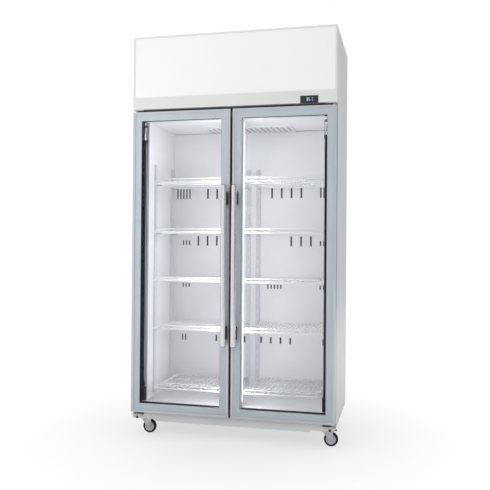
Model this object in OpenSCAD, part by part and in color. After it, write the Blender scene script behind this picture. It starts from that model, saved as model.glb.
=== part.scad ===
// Two-door upright glass door merchandiser: insulated cabinet on castors, header sign box,
// top-mounted condensing unit, wire shelves and two self-closing glass doors.
// Millimetres. X is the width, -Y faces the customer, +Z is up, and the floor is Z = 0.

/* [Cabinet] */
// Width over the two side panels
cabinet_w = 1130; // [1000:10:1300]
// Height from the floor to the top of the header
cabinet_h = 2210; // [2180:5:2260]
// Depth from the handle fronts to the rear screw heads
overall_depth = 680; // [660:2:740]
// Thickness of an insulated side wall, outer skin to inner liner
side_wall_t = 47; // [42:1:60]
// Thickness of the sheet-metal skins
skin_t = 1.5; // [1:0.1:2]
// Height of the side panels' lower edge
side_base_z = 113; // [110:1:118]
// Height of the roof of the insulated box
roof_z = 1890; // [1880:1:1900]

/* [Header] */
// Height of the header, with its lit sign and its control fascia
header_h = 403; // [380:1:410]
// Gap between the doors and the header
header_gap = 14.5; // [14:0.5:18]
// Height of the control fascia below the sign
fascia_h = 66; // [60:1:80]
// Width of the controller's lens
controller_w = 94; // [70:1:110]
// Height of the controller's lens
controller_h = 38; // [30:1:45]
// Distance of the controller's centre from the middle of the cabinet
controller_x = 420; // [300:1:450]

/* [Doors] */
// Height of the doors' lower edge above the floor
door_base_z = 130; // [130:1:136]
// Gap between the two doors
door_gap = 13; // [10:0.5:16]
// Thickness of a door without its gasket
door_t = 52; // [50:0.5:54]
// Width of the bare aluminium lip round the glass
lip_w = 13; // [12:0.5:14]
// Width of the opaque border, from the door's edge to clear glass
border_w = 49.5; // [46:0.5:56]
// How far the handles stand in front of the doors
handle_reach = 52; // [45:1:60]
// Length of a handle
handle_len = 858; // [600:2:900]
// Width of a handle
handle_w = 28; // [20:1:32]

/* [Shelves] */
// Wires along the depth of one shelf
shelf_wires = 19; // [11:2:27]
// Diameter of the shelf's frame rods
rod_d = 8; // [6:0.5:9]
// Diameter of the shelf's deck wires
wire_d = 4; // [2.5:0.1:4.4]

/* [Castors] */
// Castor wheel diameter
wheel_d = 75; // [70:1:78]
// Castor tread width
wheel_w = 25; // [20:1:28]
// Horizontal distance from swivel axis to wheel axle
castor_trail = 28; // [26:1:30]
// Distance of the swivel axes from the middle of the cabinet
castor_x = 509; // [480:1:509]

/* [Hidden] */
$fn = 48;

// Main planes
half_w = cabinet_w / 2;
door_y = handle_reach - overall_depth / 2;   // front face of the doors and the header
front_y = door_y + 60;                       // front face of the cabinet
back_y = overall_depth / 2 - 2;              // rear face of the side panels' flanges
base_z = 98;                                 // underside of the base tray
clear = 0.3;                                 // gap between neighbouring pieces

// Inside of the cabinet
liner_t = 1.2;
inner_x = half_w - side_wall_t;              // inner face of a side wall
duct_y = door_y + 565;                       // front face of the back duct panel
liner_back_y = duct_y + 13;
floor_z = 165;
ceiling_z = 1757;                            // underside of the evaporator cover
liner_top_z = 1838;
frame_depth = 21;                            // depth of the face frame's bars
mullion_half = 40;

// Doors
door_top_z = cabinet_h - header_h - header_gap;
door_h = door_top_z - door_base_z;
door_w = (cabinet_w - door_gap) / 2;
pivot_in = 14;                               // hinge axis in from the door's outer edge
pivot_back = 22;                             // hinge axis behind the door's front face
pivot = [-half_w + pivot_in, door_y + pivot_back, 0];
pin_r = 4.5;
pin_play = 0.05;
glass_t = 4;
handle_base_z = door_base_z + 389.5;
handle_x = door_gap / 2 + 7.2 + handle_w / 2;
post_h = 73;
post_inset = 32;

// Header
header_z = cabinet_h - header_h;
header_back_y = front_y - clear;
sign_rim = 9;
sheet_t = 2;

// Shelves
shelf_front_y = door_y + 117;
shelf_back_y = duct_y - 18;
shelf_outer_x = inner_x - 39;
shelf_inner_x = 44;
shelf_z = [241.5, 580, 853, 1128, 1412];
upright_w = 26;
upright_t = 11;
side_upright_y = [door_y + 221, door_y + 500];

// Castors
wheel_r = wheel_d / 2;
castor_front_y = door_y + 80;
castor_rear_y = back_y - 90;
axle_r = 4;
kingpin_r = 5;
crown_z = wheel_d + 3;
pedal_x = 34;                                // brake pin beside the swivel axis
pedal_z = crown_z + 3;

// Evaporator fans
fan_x = 170;
fan_y = door_y + 475;
fan_r = 76;

// Condensing unit
unit_z = roof_z + 14;
coil_x0 = -60;
coil_x1 = 470;
coil_y = back_y - 102;
coil_top = unit_z + 250;
shroud_x = (coil_x0 + coil_x1) / 2;
shroud_z = unit_z + 127;
condenser_fan_r = 112;

// One box given by its two corners
module slab(x0, x1, y0, y1, z0, z1)
    translate([x0, y0, z0]) cube([x1 - x0, y1 - y0, z1 - z0]);

// A part and its mirror image on the other side of the cabinet
module pair() {
    children();
    mirror([1, 0, 0]) children();
}

// A round bar between two points
module bar(a, b, d) {
    v = b - a;
    length = norm(v);
    translate(a)
        rotate([0, acos(v[2] / length), atan2(v[1], v[0])])
            cylinder(d = d, h = length);
}

// A pipe through a list of points, with a ball at each bend
module pipe(points, d) {
    for (i = [0 : len(points) - 2]) bar(points[i], points[i + 1], d);
    for (i = [1 : len(points) - 2]) translate(points[i]) sphere(d = d);
}

// ---------------------------------------------------------------- cabinet shell

module side_panel() {
    slab(-half_w, -half_w + skin_t, front_y, back_y, side_base_z, cabinet_h);
    slab(-half_w, -half_w + 8, front_y, front_y + skin_t, side_base_z, cabinet_h);
    slab(-half_w, -half_w + 25, back_y - skin_t, back_y, side_base_z, cabinet_h);
    slab(-half_w, -half_w + 22, front_y, back_y, cabinet_h - skin_t, cabinet_h);
}

module left_side_panel() color("gainsboro") side_panel();

module right_side_panel() color("gainsboro") mirror([1, 0, 0]) side_panel();

// Rear skin with pressed stiffening fields
module back_panel() color("lightgrey") {
    skin_y = back_y - 2 * skin_t - clear;
    half = half_w - 2.2;
    slab(-half, half, skin_y, skin_y + skin_t, 101.5, roof_z - 2);
    for (x = [-405, -135, 135, 405])
        for (z = [190, 1040])
            slab(x - 95, x + 95, skin_y + skin_t, skin_y + skin_t + 1.2, z, z + 760);
    for (x = [-half_w + 12.5, half_w - 12.5])
        for (z = [150 : 340 : 1850])
            translate([x, back_y, z]) rotate([-90, 0, 0]) screw_head(9, 2);
    for (x = [-270, 0, 270])
        for (z = [150, 1850])
            translate([x, skin_y + skin_t - 0.2, z]) rotate([-90, 0, 0]) screw_head(9, 2.2);
}

// Pan-head screw with a cross recess, its seat on the XY plane
module screw_head(d, h) difference() {
    cylinder(d = d, h = h);
    for (a = [0, 90]) rotate(a) slab(-d / 3, d / 3, -0.5, 0.5, h / 2, h + 1);
}

// Roof of the insulated box, with the rails that carry the condensing unit
module unit_deck() color("silver") {
    slab(-half_w + 2, half_w - 2, front_y + 1.8, back_y - 2 * skin_t - 2 * clear,
        roof_z - 1.6, roof_z);
    for (y = [30, 185]) slab(-440, 520, y, y + 28, roof_z, roof_z + 14);
}

// Chassis pan under the cabinet: it runs forward under the doors to a lip, with a riser behind
module base_tray() color("lightgrey") {
    edge = half_w - 2;
    apron = half_w - 1.5;
    riser = half_w - 8.5;
    lip_y = door_y + 25;
    lip_half = half_w - 68;       // full-height lip between the hinge plates
    valance_half = castor_x - 77; // lower edge between the sweeps of the front castors
    slab(-edge, edge, front_y, back_y, base_z, base_z + 2);
    slab(-apron, apron, lip_y, front_y + 1, base_z, base_z + 2);
    slab(-apron, apron, lip_y, lip_y + 2, base_z - 8, side_base_z - 1);
    slab(-lip_half, lip_half, lip_y, lip_y + 2, base_z - 8, door_base_z - 4);
    slab(-valance_half, valance_half, lip_y, lip_y + 2, base_z - 18, base_z);
    slab(-riser, riser, front_y, front_y + 2, base_z + 1, door_base_z - 2);
    for (s = [-1, 1])
        slab(s * (edge - 1) - 1, s * (edge - 1) + 1, front_y, back_y - 4, base_z, side_base_z - clear);
    slab(-edge, edge, back_y - 2, back_y, base_z, base_z + 3);
}

// Five foam slabs between the outer skins and the liner
module insulation() color("wheat") {
    outer = half_w - skin_t - clear;
    inner = inner_x + liner_t + clear;
    foam_front = front_y + frame_depth + clear;
    foam_back = back_y - 2 * skin_t - 2 * clear;
    pair() slab(-outer, -inner, foam_front, foam_back, side_base_z, roof_z - 2);
    slab(-inner + 1, inner - 1, liner_back_y + liner_t + clear, foam_back, base_z + 3, roof_z - 2);
    slab(-inner + 1, inner - 1, foam_front, liner_back_y, liner_top_z + 1.5, roof_z - 2);
    slab(-inner + 1, inner - 1, foam_front, liner_back_y, base_z + 3, floor_z - 1.5);
}

// White inner walls, floor, back and ceiling
module inner_liner() color("white") {
    liner_front = front_y + frame_depth + clear;
    pair()
        slab(-inner_x - liner_t, -inner_x, liner_front, liner_back_y, floor_z - 1.2, liner_top_z + 1.2);
    slab(-inner_x + 0.2, inner_x - 0.2, liner_front, liner_back_y, floor_z - 1.2, floor_z);
    slab(-inner_x + 0.2, inner_x - 0.2, liner_front, liner_back_y, liner_top_z, liner_top_z + 1.2);
    slab(-inner_x, inner_x, liner_back_y + 0.1, liner_back_y + liner_t, floor_z, liner_top_z);
}

// Face frame that the door gaskets close against
module front_frame() color("whitesmoke") {
    bar_back = front_y + frame_depth;
    stile_out = half_w - 8.5;
    pair() slab(-stile_out, -inner_x - 1.2, front_y, bar_back, door_base_z - 1, roof_z - 2);
    slab(-inner_x - 1, inner_x + 1, front_y, bar_back, ceiling_z, roof_z - 2);
    slab(-inner_x - 1, inner_x + 1, front_y, bar_back, door_base_z - 1, floor_z);
    slab(-mullion_half, mullion_half, front_y, bar_back, floor_z + 0.2, ceiling_z - 0.2);
}

// Black strips behind the gaps beside and above the doors, and dark trims at the side walls' front
module breaker_strips() color("black") {
    trim_front = front_y + frame_depth + 0.4;
    pair() slab(-inner_x + 0.2, -inner_x + 1.7, trim_front, trim_front + 40, floor_z + 1, ceiling_z - 1);
    slab(-12, 12, front_y - 2, front_y - 0.2, floor_z + 2, door_top_z - 34);
    slab(-half_w + 12, half_w - 12, front_y - 2, front_y - 0.2, door_top_z - 7, header_z - clear);
}

// Light bars on both flanks of the mullion: channel and rounded diffuser
module led_strips() color("white") pair() {
    z0 = floor_z + 35;
    z1 = ceiling_z - 20;
    slab(mullion_half + clear, mullion_half + 6, front_y + 3, front_y + frame_depth, z0, z1);
    translate([mullion_half + 9, front_y + 12, z0]) cylinder(r = 8.5, h = z1 - z0);
}

// ---------------------------------------------------------------- cold air system

// One row of slots on each side: their pitch, and their places counted in pitches from the middle
module slot_row(z, height, pitch, slot_w, numbers)
    pair()
        for (n = numbers)
            slab(n * pitch - slot_w / 2, n * pitch + slot_w / 2, duct_y - 1, duct_y + 3, z, z + height);

// Slotted panel that spreads the cold air over the shelves
module back_duct_panel() color("white") difference() {
    slab(-inner_x + 1, inner_x - 1, duct_y, duct_y + 1.2, floor_z + 2, ceiling_z - 2);
    wide = 60.5;
    narrow = 20.25;
    slot_row(1347, 64, wide, 10.5, [1.9, 2.9, 3.9, 4.9]);
    slot_row(1053, 61, wide, 10.5, [3.9, 4.9, 5.9]);
    slot_row(455, 39, wide, 10.5, [0.87, 1.87, 2.87, 3.87]);
    slot_row(1347, 64, narrow, 8, [20.5, 21.5, 22.5, 23.5, 24.5]);
    slot_row(1055, 30, narrow, 8, [20.5, 21.5, 22.5]);
    slot_row(791, 26, narrow, 8, [4.6, 5.6, 6.6, 7.6, 8.6, 20.5, 21.5, 22.5]);
    slot_row(455, 39, narrow, 8, [21.5, 22.5]);
}

// Ceiling cover with the lowered return-air grille under the two fans
module evaporator_cover() color("white") {
    difference() {
        union() {
            slab(-inner_x + 1, inner_x - 1, front_y + frame_depth + 1, duct_y + 10, ceiling_z,
                ceiling_z + 1.5);
            slab(-262, 262, fan_y - 127, duct_y - 3, ceiling_z - 8, ceiling_z + 0.5);
        }
        slab(-259, 259, fan_y - 124, duct_y - 6, ceiling_z - 5, ceiling_z + 3);
        for (x = [-240 : 32 : 240])
            slab(x - 8, x + 8, fan_y - 116, duct_y - 14, ceiling_z - 9, ceiling_z);
    }
    slab(-inner_x + 1, inner_x - 1, front_y + frame_depth + 1, front_y + frame_depth + 2.5,
        ceiling_z, liner_top_z - 1);
}

// Finned coil: plates threaded on hairpin tubes
module evaporator_coil() color("silver") {
    coil_y0 = -150;
    coil_z0 = ceiling_z + 12;
    for (x = [-320 : 16 : 320]) slab(x - 0.4, x + 0.4, coil_y0, coil_y0 + 170, coil_z0, coil_z0 + 58);
    for (y = [coil_y0 + 20 : 43 : coil_y0 + 160])
        for (z = [coil_z0 + 14, coil_z0 + 44])
            bar([-340, y, z], [340, y, z], 9);
}

// Fan plates, each with a round mouth, a motor and its spokes
module evaporator_fan_frames() color("silver") pair() translate([fan_x, fan_y, 0]) {
    plate_z = ceiling_z + 33;
    difference() {
        slab(-88, 88, -85, 85, plate_z, plate_z + 2);
        translate([0, 0, plate_z - 1]) cylinder(r = fan_r + 3, h = 4);
    }
    for (s = [-1, 1]) slab(s * 87 - 1, s * 87 + 1, -85, 85, ceiling_z + 2, plate_z + 1);
    translate([0, 0, plate_z + 3]) cylinder(r = 24, h = 34);
    for (a = [45, 135]) rotate(a) slab(-86, 86, -5, 5, plate_z + 1.5, plate_z + 4.5);
    translate([0, 0, ceiling_z + 9]) cylinder(r = 2.5, h = 30);
}

// Fan rotor round the Z axis: bored hub and pitched blades
module rotor(r, hub_r, h, blades, shaft_r, pitch) difference() {
    union() {
        cylinder(r = hub_r, h = h);
        intersection() {
            cylinder(r = r, h = h);
            for (i = [0 : blades - 1])
                rotate(i * 360 / blades)
                    translate([hub_r - 2, 0, h / 2]) rotate([pitch, 0, 0])
                        translate([0, -hub_r * 1.1, -0.8]) cube([r, hub_r * 2.2, 1.6]);
        }
    }
    translate([0, 0, -1]) cylinder(r = shaft_r, h = h + 2);
}

module evaporator_fan() translate([fan_x, fan_y, ceiling_z + 11])
    rotor(fan_r, 22, 20, 5, 2.55, 26);

module left_evaporator_fan() color("black") mirror([1, 0, 0]) evaporator_fan();

module right_evaporator_fan() color("black") evaporator_fan();

// ---------------------------------------------------------------- shelves and supports

// Slotted upright, standing on the XY plane with its face towards +Y
module upright(slot_count) {
    height = shelf_z[4] + 112 - floor_z - 30;
    difference() {
        slab(-upright_w / 2, upright_w / 2, 0, upright_t, 0, height);
        slab(-upright_w / 2 + 1.5, upright_w / 2 - 1.5, -1, upright_t - 1.5, -1, height + 1);
        for (i = [1 : slot_count])
            slab(-3, 3, upright_t - 3, upright_t + 1, i * 50, i * 50 + 18);
    }
}

module shelf_uprights() color("lightgrey") {
    foot_z = floor_z + 30;
    pair() for (y = side_upright_y)
        translate([-inner_x + 0.2, y, foot_z]) rotate(-90) upright(26);
    pair() translate([30, duct_y - 0.2, foot_z]) rotate(180) upright(26);
    pair() translate([24, front_y + frame_depth + 0.2, foot_z]) upright(26);
}

// Clip on an upright's face: an arm with a flat pad under the shelf's side rod
module clip(reach) {
    slab(-1.5, 1.5, 0, reach, -6, 0);
    slab(-5, 5, 0, 1.5, -12, 0);
    slab(-6, 6, reach - 12, reach, -2, 0);
}

module shelf_clips() color("silver") {
    for (z = shelf_z) {
        seat = z - rod_d / 2 - 0.2;
        pair() for (y = side_upright_y)
            translate([-inner_x + upright_t + 0.5, y, seat]) rotate(-90)
                clip(inner_x - upright_t - shelf_outer_x + 4);
        pair() translate([30, duct_y - upright_t - 0.5, seat]) rotate(180) {
            clip(26);
            slab(-20, 1.5, 14, 26, -2, 0);
        }
        pair() translate([24, front_y + frame_depth + upright_t + 0.5, seat]) {
            clip(48);
            slab(1.5, 26, 36, 48, -2, 0);
        }
    }
}

// One wire shelf on the right-hand side: frame, deck wires and raised front rail
module wire_shelf(z) {
    x0 = shelf_inner_x;
    x1 = shelf_outer_x;
    y0 = shelf_front_y;
    y1 = shelf_back_y;
    deck_z = z + rod_d / 2 + wire_d / 2 - 0.6;
    bar([x0, y0, z], [x1, y0, z], rod_d);
    bar([x0, y1, z], [x1, y1, z], rod_d);
    for (x = [x0, x1]) {
        bar([x, y0, z], [x, y1, z], rod_d);
        for (y = [y0, y1]) translate([x, y, z]) sphere(d = rod_d);
    }
    for (k = [1, 2]) bar([x0, y0 + k * (y1 - y0) / 3, z], [x1, y0 + k * (y1 - y0) / 3, z], rod_d - 1);
    for (i = [1 : shelf_wires - 1]) {
        x = x0 + i * (x1 - x0) / shelf_wires;
        bar([x, y0 - 1, deck_z], [x, y1 + 1, deck_z], wire_d);
    }
    front_rail(x0 + 14, x1 - 14, y0, z);
}

// Raised rail that stops the goods sliding off the front
module front_rail(x0, x1, y, z) {
    rise = 20;
    bar([x0, y, z + rise], [x1, y, z + rise], rod_d - 1.2);
    bar([x0 - 12, y, z], [x0, y, z + rise], rod_d - 1.2);
    bar([x1 + 12, y, z], [x1, y, z + rise], rod_d - 1.2);
    for (k = [1, 2]) {
        x = x0 + k * (x1 - x0) / 3;
        bar([x, y, z], [x, y, z + rise], rod_d - 2);
    }
}

module shelf_level(level) color("white") pair() wire_shelf(shelf_z[level - 1]);

// ---------------------------------------------------------------- doors

// Left-hand door pieces. A ring is cut at 45 degrees into four bars when seam is over 0.
module door_ring(in0, in1, back0, back1, seam = 0) {
    x0 = -half_w;
    x1 = -half_w + door_w;
    z0 = door_base_z;
    z1 = door_top_z;
    difference() {
        slab(x0 + in0, x1 - in0, door_y + back0, door_y + back1, z0 + in0, z1 - in0);
        slab(x0 + in1, x1 - in1, door_y + back0 - 1, door_y + back1 + 1, z0 + in1, z1 - in1);
        if (seam > 0) {
            for (sx = [0, 1])
                for (sz = [0, 1])
                    translate([sx == 0 ? x0 : x1, door_y + back0 - 1, sz == 0 ? z0 : z1])
                        rotate([0, sx == sz ? -45 : 45, 0])
                            slab(-120, 120, 0, back1 - back0 + 2, -seam / 2, seam / 2);
        }
    }
}

module door_frame() difference() {
    union() {
        door_ring(0, lip_w, 0, 44, 0.16);
        door_ring(lip_w - 1, 26, 5, 44, 0.16);
    }
    translate(pivot + [0, 0, door_base_z - 1]) cylinder(r = pin_r + pin_play, h = 25);
    translate(pivot + [0, 0, door_top_z - 24]) cylinder(r = pin_r + pin_play, h = 25);
}

// Outer and inner panes of the glass unit
module door_glass() {
    pane(lip_w + 0.2, 0.3);
    pane(border_w + 0.3, 18);
}

module pane(inset, back)
    slab(-half_w + inset, -half_w + door_w - inset, door_y + back, door_y + back + glass_t,
        door_base_z + inset, door_top_z - inset);

// Black carrier behind the glass border, with the closer's cartridge and channel on its hinge side
module door_inner_frame() {
    door_ring(26.3, border_w, 4.7, door_t, 0.16);
    door_ring(10, 27, 44.3, door_t, 0.16);
    slab(-half_w + border_w - 0.5, -half_w + border_w + 21, door_y + 25, door_y + door_t - 2, 188, 262);
    slab(-half_w + border_w - 0.5, -half_w + border_w + 13.5, door_y + 24, door_y + 38, 261, 1640);
}

module door_gasket() door_ring(10, 28, door_t + 0.2, 59.5);

// Bar handle of rounded section
module door_handle() {
    depth = 22;
    corner = depth / 2 - 1;
    x0 = -handle_x - handle_w / 2;
    translate([x0, door_y - handle_reach, handle_base_z]) linear_extrude(handle_len) union() {
        translate([corner, 0]) square([handle_w - 2 * corner, depth]);
        translate([0, corner]) square([handle_w, depth - 2 * corner]);
        for (x = [corner, handle_w - corner]) for (y = [corner, depth - corner])
            translate([x, y]) circle(r = corner);
    }
}

// Black posts that hold the handle off the door
module door_handle_posts() {
    x0 = -handle_x - handle_w / 2 + 1.5;
    y0 = door_y - handle_reach + 22.1;
    for (z = [handle_base_z + post_inset, handle_base_z + handle_len - post_inset - post_h]) {
        slab(x0, x0 + handle_w - 3, y0, door_y - 0.1, z + 4, z + post_h - 4);
        slab(x0 + 3, x0 + handle_w - 6, y0, door_y - 0.1, z, z + post_h);
    }
}

// Torsion rod that closes the door, with its upper spring clip and its lower lug
module door_closer() {
    x = -half_w + 66;
    y = door_y + 46;
    bar([x, y, 262.5], [x, y, 1636], 4);
    wall_x = -half_w + border_w + 0.2;
    slab(wall_x, x + 3, y - 5, y + 5, 268, 296);
    slab(wall_x, x + 3, y - 5, y + 5, 1712, 1726);
    bar([x + 1.5, y, 1714], [x + 1.5, y, 1640], 2.4);
    bar([wall_x + 2, y, 1714], [x - 1.5, y, 1640], 2.4);
    slab(x - 4, x + 5, y - 5, y + 5, 1625, 1645);
}

module left_door_frame() color("silver") door_frame();
module left_door_glass() color([0.8, 0.9, 0.92, 0.3]) door_glass();
module left_door_inner_frame() color("black") door_inner_frame();
module left_door_gasket() color("dimgrey") door_gasket();
module left_door_handle() color("gainsboro") door_handle();
module left_door_handle_posts() color("black") door_handle_posts();
module left_door_closer() color("grey") door_closer();
module right_door_frame() color("silver") mirror([1, 0, 0]) door_frame();
module right_door_glass() color([0.8, 0.9, 0.92, 0.3]) mirror([1, 0, 0]) door_glass();
module right_door_inner_frame() color("black") mirror([1, 0, 0]) door_inner_frame();
module right_door_gasket() color("dimgrey") mirror([1, 0, 0]) door_gasket();
module right_door_handle() color("gainsboro") mirror([1, 0, 0]) door_handle();
module right_door_handle_posts() color("black") mirror([1, 0, 0]) door_handle_posts();
module right_door_closer() color("grey") mirror([1, 0, 0]) door_closer();

// Lower and upper hinge plates with their pins
module hinge_brackets() color("dimgrey") pair() {
    plate_x1 = -half_w + 65;
    low_z = side_base_z + 0.5;
    slab(-half_w + 2, plate_x1, door_y + 4, front_y - 0.2, low_z, low_z + 5);
    slab(-half_w + 5, plate_x1 - 8, front_y - 3.2, front_y - 0.2, base_z + 2.4, low_z + 1);
    translate(pivot + [0, 0, low_z + 4]) cylinder(r = pin_r, h = door_base_z + 22 - low_z - 4);
    translate(pivot + [0, 0, low_z + 4]) cylinder(r = 9, h = door_base_z - 0.6 - low_z - 4);
    high_z = header_z - 5.4;
    slab(-half_w + 2, plate_x1 - 5, door_y + 4, front_y - 8, high_z, high_z + 5);
    translate(pivot + [0, 0, door_top_z - 22]) cylinder(r = pin_r, h = high_z + 1 - door_top_z + 22);
    translate(pivot + [0, 0, door_top_z + 0.6]) cylinder(r = 9, h = high_z + 1 - door_top_z - 0.6);
}

// ---------------------------------------------------------------- header

// Folded header: sides, top, back, bottom, sign rim and control fascia
module header_frame() color("gainsboro") {
    rim_z = header_z + fascia_h;
    difference() {
        slab(-half_w, half_w, door_y, header_back_y, header_z, cabinet_h);
        slab(-half_w + sheet_t, half_w - sheet_t, door_y + sheet_t, header_back_y - sheet_t,
            header_z + sheet_t, cabinet_h - sheet_t);
        slab(-half_w + sign_rim, half_w - sign_rim, door_y - 1, door_y + sheet_t + 1, rim_z,
            cabinet_h - sign_rim);
        slab(controller_x - controller_w / 2 - 0.3, controller_x + controller_w / 2 + 0.3,
            door_y - 1, door_y + sheet_t + 1, header_z - 1, header_z + controller_h + 0.3);
    }
}

module light_panel() color("white")
    slab(-half_w + sign_rim - 5, half_w - sign_rim + 5, door_y + sheet_t + 0.3, door_y + sheet_t + 3.3,
        header_z + fascia_h - 5, cabinet_h - sign_rim + 5);

// Reflector with three rows of lamps behind the sign
module sign_light_tray() color("white") {
    y = header_back_y - 12;
    slab(-half_w + 20, half_w - 20, y, y + 1.5, header_z + fascia_h, cabinet_h - 20);
    for (z = [header_z + 120, header_z + 225, header_z + 330])
        slab(-half_w + 40, half_w - 40, y - 10, y + 0.5, z, z + 20);
}

// Controller: glossy lens in front of a plain housing. Its keys are touch areas.
module controller() color("black") {
    x0 = controller_x - controller_w / 2;
    x1 = controller_x + controller_w / 2;
    slab(x0, x1, door_y - 1.5, door_y + 3, header_z - 1, header_z + controller_h);
    slab(x0 + 10, x1 - 10, door_y + 3, door_y + 42, header_z + 4, header_z + controller_h - 3);
}

// ---------------------------------------------------------------- castors

// The four castors share one set of modules, placed by their swivel axis
module at_castor(side, row) translate([side * castor_x, row == 0 ? castor_front_y : castor_rear_y, 0])
    children();

module castor_plates() color("silver")
    for (side = [-1, 1]) for (row = [0, 1]) at_castor(side, row) {
        slab(-48, 48, -38, 38, base_z - 4.2, base_z - 0.2);
        for (x = [-38, 38]) for (y = [-28, 28])
            translate([x, y, base_z - 4.2]) mirror([0, 0, 1]) cylinder(r = 6.5, h = 4.5, $fn = 6);
        difference() {
            translate([0, 0, crown_z + 6]) cylinder(r = 24, h = base_z - 4 - crown_z - 6);
            translate([0, 0, crown_z + 5]) cylinder(r = kingpin_r + 0.05, h = 20);
        }
    }

// Fork: crown, kingpin, two legs and the axle. dir is the side the wheel trails to.
module fork(dir, braked) {
    leg_in = wheel_w / 2 + 2;
    wheel_at = dir * castor_trail;
    translate([0, 0, crown_z]) cylinder(r = 26, h = 5.5);
    translate([0, 0, crown_z + 5]) cylinder(r = kingpin_r, h = base_z - crown_z - 11);
    for (s = [-1, 1]) {
        leg_y = s > 0 ? leg_in : -leg_in - 3;
        translate([0, leg_y + 3, 0]) rotate([90, 0, 0]) linear_extrude(3) union() {
            polygon([[-dir * 18, crown_z + 5], [dir * 40, crown_z + 5], [dir * 40, crown_z - 4],
                [wheel_at + dir * 11, wheel_r], [wheel_at - dir * 11, wheel_r]]);
            translate([wheel_at, wheel_r]) circle(r = 11);
        }
    }
    translate([wheel_at, -leg_in - 5, wheel_r]) rotate([-90, 0, 0]) cylinder(r = axle_r, h = 2 * leg_in + 10);
    for (s = [-1, 1]) translate([wheel_at, s * (leg_in + 5), wheel_r])
        rotate([90, 0, 0]) cylinder(r = 7, h = 4, center = true, $fn = 6);
    if (braked) translate([pedal_x, -leg_in - 1, pedal_z])
        rotate([-90, 0, 0]) cylinder(r = 2.5, h = 2 * leg_in + 2);
}

// Wheel: tyre with a crowned tread and a bored hub
module wheel(dir) translate([dir * castor_trail, 0, wheel_r]) rotate([90, 0, 0])
    rotate_extrude($fn = 96) union() {
        translate([axle_r + 0.05, -wheel_w / 2 - 1]) square([8, wheel_w + 2]);
        translate([11, -7]) square([13, 14]);
        translate([22, -wheel_w / 2]) square([wheel_r - 25, wheel_w]);
        translate([wheel_r - 5, -wheel_w / 2 + 2]) square([5, wheel_w - 4]);
        for (s = [-1, 1]) translate([wheel_r - 4, s * (wheel_w / 2 - 4)]) circle(r = 4);
    }

// Brake pedal on its pivot pin over the wheel
module brake() translate([pedal_x, 0, pedal_z]) difference() {
    union() {
        rotate([90, 0, 0]) cylinder(r = 4.6, h = 22, center = true);
        slab(0, 24, -11, 11, 1.8, 4.6);
        slab(20, 24, -11, 11, 1.8, 6.6);
    }
    rotate([90, 0, 0]) cylinder(r = 2.55, h = 40, center = true);
}

module front_left_fork() color("silver") at_castor(-1, 0) fork(1, true);
module front_right_fork() color("silver") at_castor(1, 0) fork(1, true);
module rear_left_fork() color("silver") at_castor(-1, 1) fork(-1, false);
module rear_right_fork() color("silver") at_castor(1, 1) fork(-1, false);
module front_left_wheel() color("black") at_castor(-1, 0) wheel(1);
module front_right_wheel() color("black") at_castor(1, 0) wheel(1);
module rear_left_wheel() color("black") at_castor(-1, 1) wheel(-1);
module rear_right_wheel() color("black") at_castor(1, 1) wheel(-1);
module front_left_brake() color("dimgrey") at_castor(-1, 0) brake();
module front_right_brake() color("dimgrey") at_castor(1, 0) brake();

// ---------------------------------------------------------------- condensing unit

// Hermetic shell on its mounting plate
module compressor() color("black") translate([-300, 122, unit_z + 0.3]) {
    slab(-95, 95, -70, 70, 0, 4);
    for (x = [-78, 78]) for (y = [-52, 52]) translate([x, y, 4]) cylinder(r = 9, h = 10);
    translate([0, 0, 3]) cylinder(r = 72, h = 126);
    translate([0, 0, 128]) rotate_extrude($fn = 72) intersection() {
        circle(r = 72);
        square([72, 40]);
    }
    slab(62, 90, -28, 28, 60, 118);
}

// Finned condenser with end plates and tube bends
module condenser_coil() color("silver") {
    for (x = [coil_x0 + 6 : 11 : coil_x1 - 5]) slab(x - 0.4, x + 0.4, coil_y, coil_y + 66, unit_z + 2, coil_top);
    for (x = [coil_x0, coil_x1]) slab(x - 1, x + 1, coil_y - 4, coil_y + 70, roof_z + 0.3, coil_top + 4);
    for (y = [coil_y + 12, coil_y + 33, coil_y + 54])
        for (z = [unit_z + 22 : 35 : coil_top - 10])
            bar([coil_x0 - 12, y, z], [coil_x1 + 12, y, z], 9);
}

// Square shroud with a round mouth, and the motor on its bracket
module condenser_fan_shroud() color("dimgrey") {
    mouth_y = coil_y - 44;
    difference() {
        slab(coil_x0 + 2, coil_x1 - 2, mouth_y, coil_y - 5, unit_z + 0.4, coil_top);
        slab(coil_x0 + 4, coil_x1 - 4, mouth_y + 2, coil_y - 4, unit_z - 1, coil_top - 2);
        translate([shroud_x, mouth_y - 1, shroud_z]) rotate([-90, 0, 0])
            cylinder(r = condenser_fan_r + 5, h = 5);
    }
    translate([shroud_x, mouth_y - 60, shroud_z]) rotate([-90, 0, 0]) cylinder(r = 32, h = 46);
    translate([shroud_x, mouth_y - 20, shroud_z]) rotate([-90, 0, 0]) cylinder(r = 3, h = 48);
    for (s = [-1, 1]) {
        slab(shroud_x + s * 124 - 3, shroud_x + s * 124 + 3, mouth_y - 36, mouth_y + 1,
            shroud_z - 10, shroud_z + 10);
        slab(shroud_x + s * 78 - 48, shroud_x + s * 78 + 48, mouth_y - 36, mouth_y - 32,
            shroud_z - 10, shroud_z + 10);
    }
}

module condenser_fan() color("grey")
    translate([shroud_x, coil_y - 40, shroud_z]) rotate([-90, 0, 0])
        rotor(condenser_fan_r, 30, 26, 5, 3.05, 24);

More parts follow.
